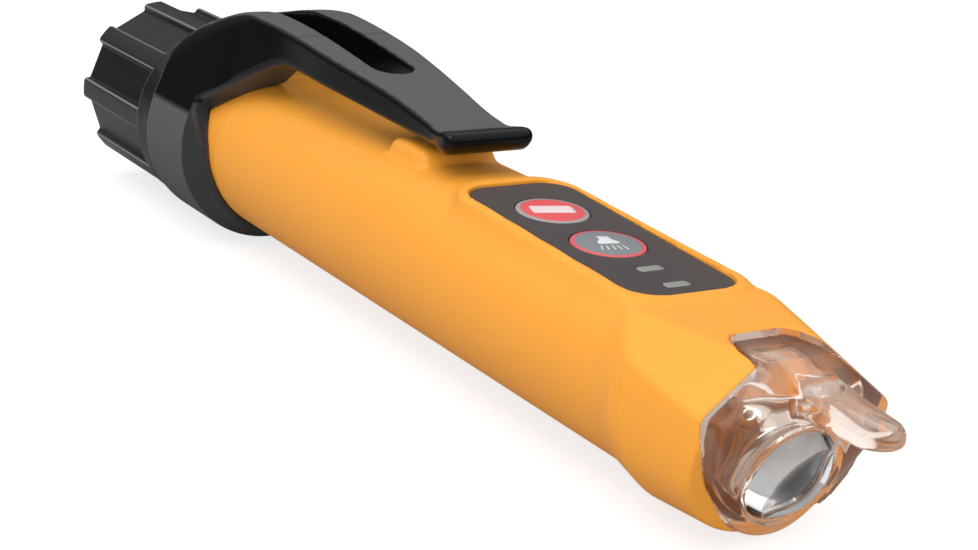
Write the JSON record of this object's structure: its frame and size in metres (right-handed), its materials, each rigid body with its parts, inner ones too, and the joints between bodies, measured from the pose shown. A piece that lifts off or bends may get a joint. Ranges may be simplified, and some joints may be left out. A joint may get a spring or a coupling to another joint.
{
  "type": "non contact voltage tester",
  "caption": "Pen-shaped voltage tester with clear sensing tip, flashlight nose, key panel, pocket clip and screw-on battery cap",
  "frame": {"origin": "centre of the battery cap's rear face, on the tube axis", "axes": "+X runs along the tube to the sensing tip, +Z out of the key panel and clip side, +Y to the left of the tool when looking along +X"},
  "size_m": [0.1565, 0.0252, 0.0312],
  "materials": {
    "housing_orange": "fine satin moulded",
    "nose_clear": "clear polished polycarbonate",
    "seal_rubber": "soft matte",
    "lens_clear": "clear polished",
    "reflector": "vacuum metallised",
    "board_green": "solder mask",
    "led_yellow": "phosphor dome",
    "led_clear": "clear resin",
    "antenna_brass": "plain sheet",
    "chip_black": "moulded epoxy",
    "switch_steel": "stamped cover",
    "key_red": "soft matte",
    "key_grey": "soft matte",
    "window_grey": "milky light pipe",
    "label_dark": "fine textured film",
    "chassis_grey": "moulded",
    "contact_nickel": "nickel plated",
    "cell_can": "plain wrapped can",
    "buzzer_black": "moulded",
    "cap_dark": "fine satin moulded",
    "clip_grey": "satin top, polished sides"
  },
  "bodies": {
    "tester": {"main_housing": "housing_orange", "nose_cover": "nose_clear", "nose_seal": "seal_rubber", "flashlight_lens": "lens_clear", "lens_reflector": "reflector", "led_board": "board_green", "flashlight_led": "led_yellow", "antenna_plate": "antenna_brass", "main_pcb": "board_green", "controller_chip": "chip_black", "tip_led": "led_clear", "indicator_leds": "led_clear", "board_components": "chip_black", "ncv_switch": "switch_steel", "flashlight_switch": "switch_steel", "light_pipes": "window_grey", "keypad_membrane": "seal_rubber", "panel_label": "label_dark", "inner_chassis": "chassis_grey", "return_strip": "contact_nickel", "front_contact": "contact_nickel", "cell_rear": "cell_can", "cell_front": "cell_can", "piezo_buzzer": "buzzer_black", "cap_seal_ring": "seal_rubber", "clip_collar": "clip_grey"},
    "ncv_key": {"ncv_key": "key_red", "ncv_switch_button": "chip_black"},
    "flashlight_key": {"flashlight_key": "key_grey", "flashlight_switch_button": "chip_black"},
    "clip": {"clip_arm": "clip_grey"},
    "contact": {"spring_contact": "contact_nickel", "battery_spring": "contact_nickel"},
    "cap": {"battery_cap": "cap_dark"}
  },
  "joints": [
    {"name": "ncv_key_press", "type": "slide", "parent": "tester", "child": "ncv_key", "axis": [-0.057, 0, -0.9984], "range_m": [0, 0.0004], "stiffness_N_per_m": 3000},
    {"name": "flashlight_key_press", "type": "slide", "parent": "tester", "child": "flashlight_key", "axis": [-0.057, 0, -0.9984], "range_m": [0, 0.0004], "stiffness_N_per_m": 3000},
    {"name": "clip_lift", "type": "hinge", "parent": "tester", "child": "clip", "pos_m": [0.0555, 0, 0.0181], "axis": [0, -1, 0], "range_deg": [0, 8], "stiffness_Nm_per_rad": 1.8},
    {"name": "cap_travel", "type": "slide", "parent": "tester", "child": "contact", "axis": [-1, 0, 0], "range_m": [0, 0.006]},
    {"name": "cap_unscrew", "type": "hinge", "parent": "contact", "child": "cap", "pos_m": [0.012, 0, 0], "axis": [-1, 0, 0], "range_deg": [0, 720.5]}
  ],
  "couplings": [
    {"joint": "cap_unscrew", "follows": "cap_travel", "rad_per_m": 2094.4}
  ]
}
